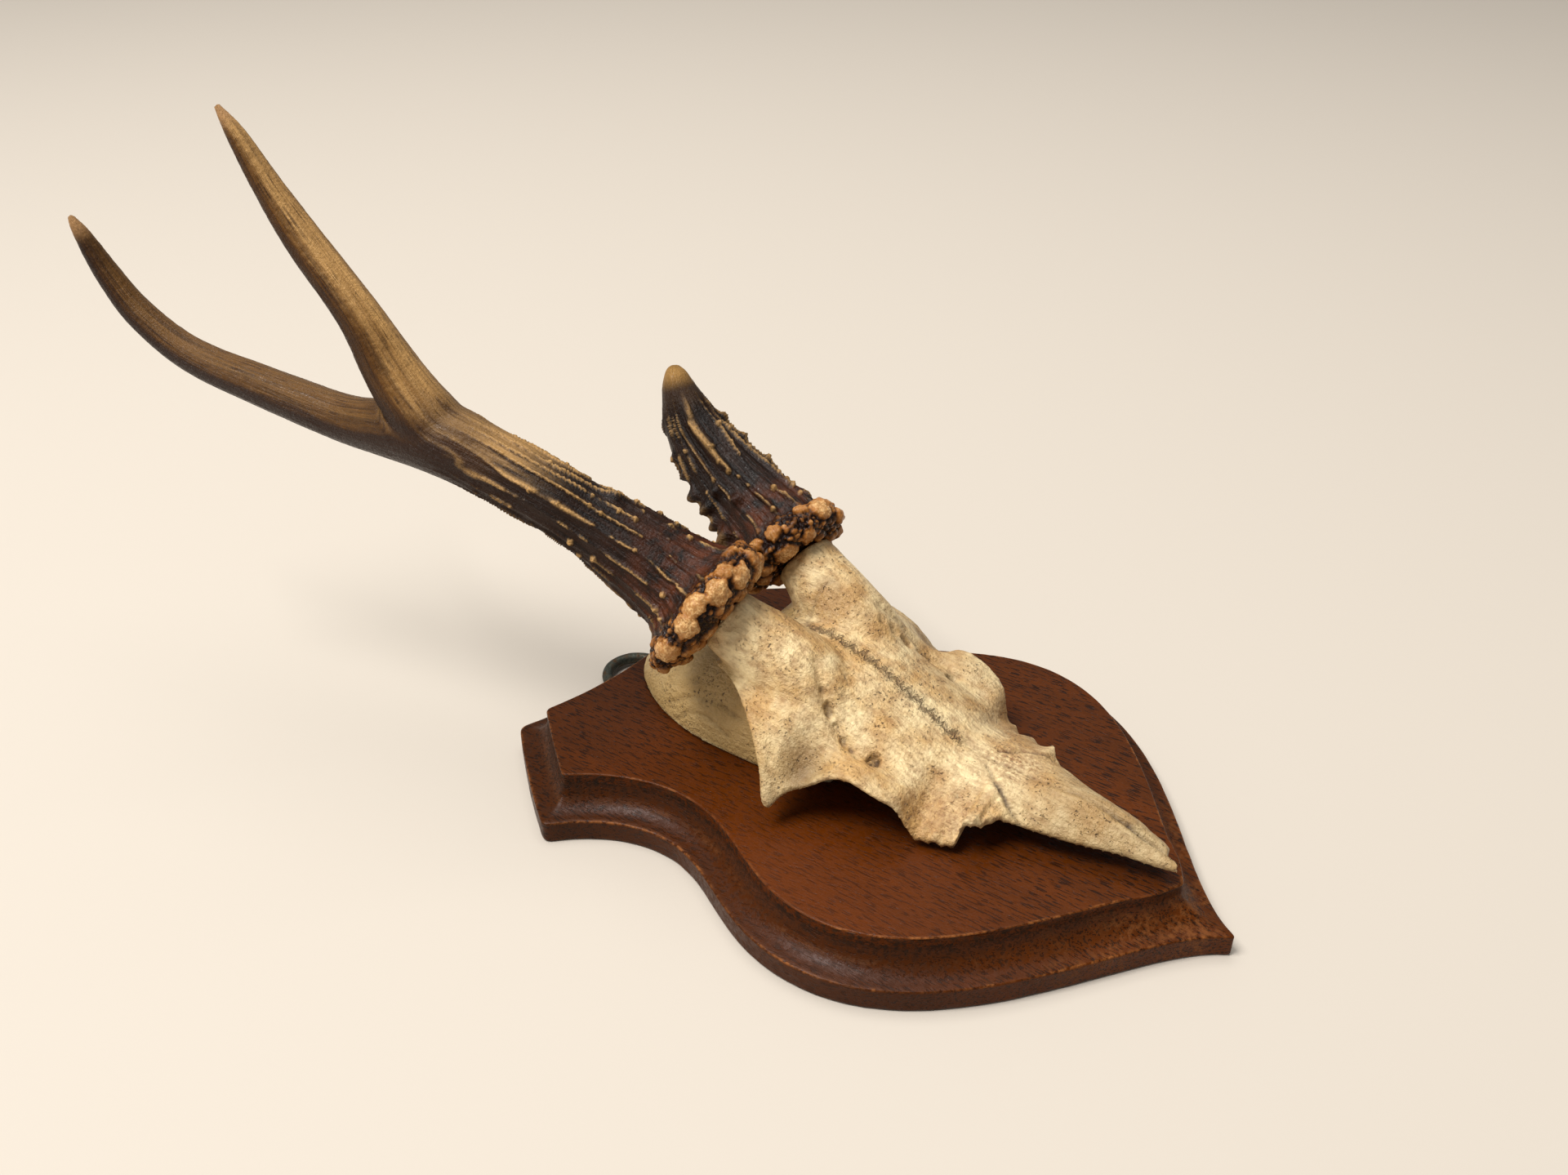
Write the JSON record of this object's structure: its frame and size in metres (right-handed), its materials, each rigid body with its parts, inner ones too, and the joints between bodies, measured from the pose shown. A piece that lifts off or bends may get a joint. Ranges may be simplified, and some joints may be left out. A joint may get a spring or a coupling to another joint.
{
  "type": "antler mounting plaque",
  "caption": "Roe deer skull cap with one forked and one stunted antler on a moulded wooden shield with a hanging ring.",
  "frame": {"origin": "middle of the shield's flat back, half way between its pointed tip and the corners of its top edge", "axes": "+Z out of the wall, through the board to its face; +Y up the wall, from the pointed tip to the hanging ring; +X to the animal's left, which is the side of the stunted antler"},
  "size_m": [0.149, 0.3549, 0.186],
  "materials": {
    "shield_wood": "dark reddish-brown varnished beech",
    "bone": "boiled and aged bone, ivory with tan patches",
    "light_antler": "brown antler with tan ridges and tips rubbed smooth",
    "dark_antler": "nearly black rough antler with pale ridges",
    "iron": "blackened iron"
  },
  "bodies": {
    "root": {"wooden_shield": "shield_wood", "skull_cap": "bone", "right_antler": "light_antler", "left_antler": "dark_antler", "hanging_ring": "iron"}
  },
  "joints": []
}
